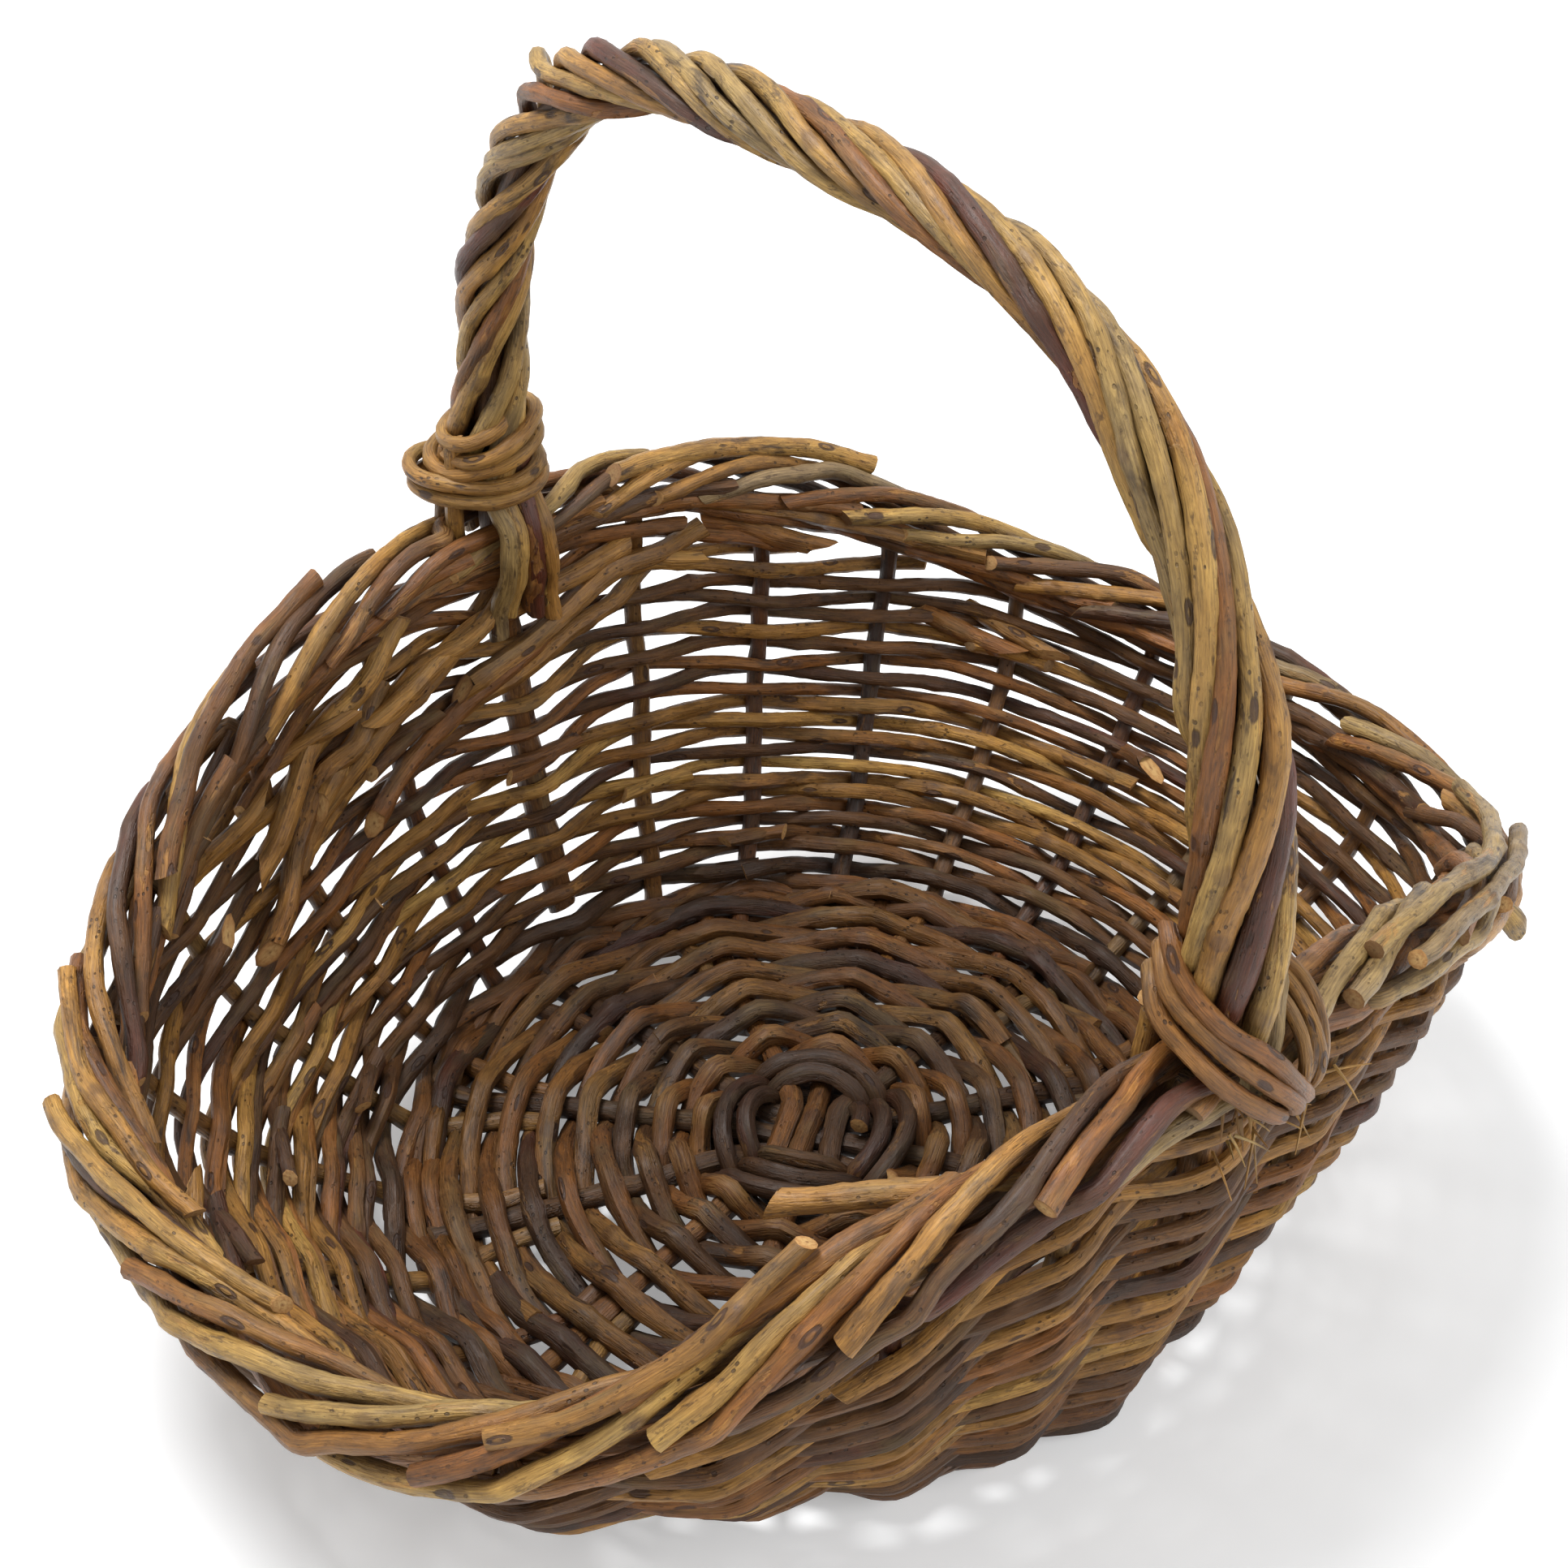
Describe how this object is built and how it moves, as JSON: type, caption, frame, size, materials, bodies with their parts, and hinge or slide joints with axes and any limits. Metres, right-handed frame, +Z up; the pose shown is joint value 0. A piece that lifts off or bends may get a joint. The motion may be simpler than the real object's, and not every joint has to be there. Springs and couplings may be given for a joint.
{
  "type": "handled basket",
  "caption": "Small oval stake-and-strand willow basket with a saddle-shaped rolled rim and one fixed twisted hoop handle.",
  "frame": {"origin": "middle of the basket's footprint, on the surface that it stands on", "axes": "+Z up; X runs between the handle's two feet; Y runs between the two low ends of the rim"},
  "size_m": [0.2803, 0.3564, 0.2927],
  "materials": {
    "willow_base": "unpeeled bark, matt",
    "willow_stake": "unpeeled bark, satin",
    "willow_weaver": "unpeeled bark, satin",
    "willow_handle": "unpeeled bark, satin",
    "willow_lashing": "unpeeled bark, satin"
  },
  "bodies": {
    "root": {"base_slath": "willow_base", "base_weaver_1": "willow_base", "base_weaver_2": "willow_base", "foot_weaver_1": "willow_base", "foot_weaver_2": "willow_base", "stake_01": "willow_stake", "stake_02": "willow_stake", "stake_03": "willow_stake", "stake_04": "willow_stake", "stake_05": "willow_stake", "stake_06": "willow_stake", "stake_07": "willow_stake", "stake_08": "willow_stake", "stake_09": "willow_stake", "stake_10": "willow_stake", "stake_11": "willow_stake", "stake_13": "willow_stake", "stake_14": "willow_stake", "stake_15": "willow_stake", "stake_16": "willow_stake", "stake_17": "willow_stake", "stake_18": "willow_stake", "stake_19": "willow_stake", "stake_20": "willow_stake", "stake_21": "willow_stake", "stake_22": "willow_stake", "stake_23": "willow_stake", "wall_row_01": "willow_weaver", "wall_row_02": "willow_weaver", "wall_row_03": "willow_weaver", "wall_row_04": "willow_weaver", "wall_row_05": "willow_weaver", "wall_row_06": "willow_weaver", "wall_row_07": "willow_weaver", "wall_row_08": "willow_weaver", "wall_row_09": "willow_weaver", "wall_row_10": "willow_weaver", "wall_row_11": "willow_weaver", "wall_row_12": "willow_weaver", "wall_row_13": "willow_weaver", "wall_row_14": "willow_weaver", "wall_row_15": "willow_weaver", "wall_row_16": "willow_weaver", "wall_row_17": "willow_weaver", "wall_row_18": "willow_weaver", "wall_row_19": "willow_weaver", "packing_right": "willow_weaver", "packing_left": "willow_weaver", "handle_bow": "willow_handle", "handle_rod_1": "willow_handle", "handle_rod_2": "willow_handle", "handle_rod_3": "willow_handle", "handle_rod_4": "willow_handle", "handle_rod_5": "willow_handle", "handle_rod_6": "willow_handle", "handle_rod_7": "willow_handle", "lashing_right": "willow_lashing", "lashing_left": "willow_lashing"}
  },
  "joints": []
}
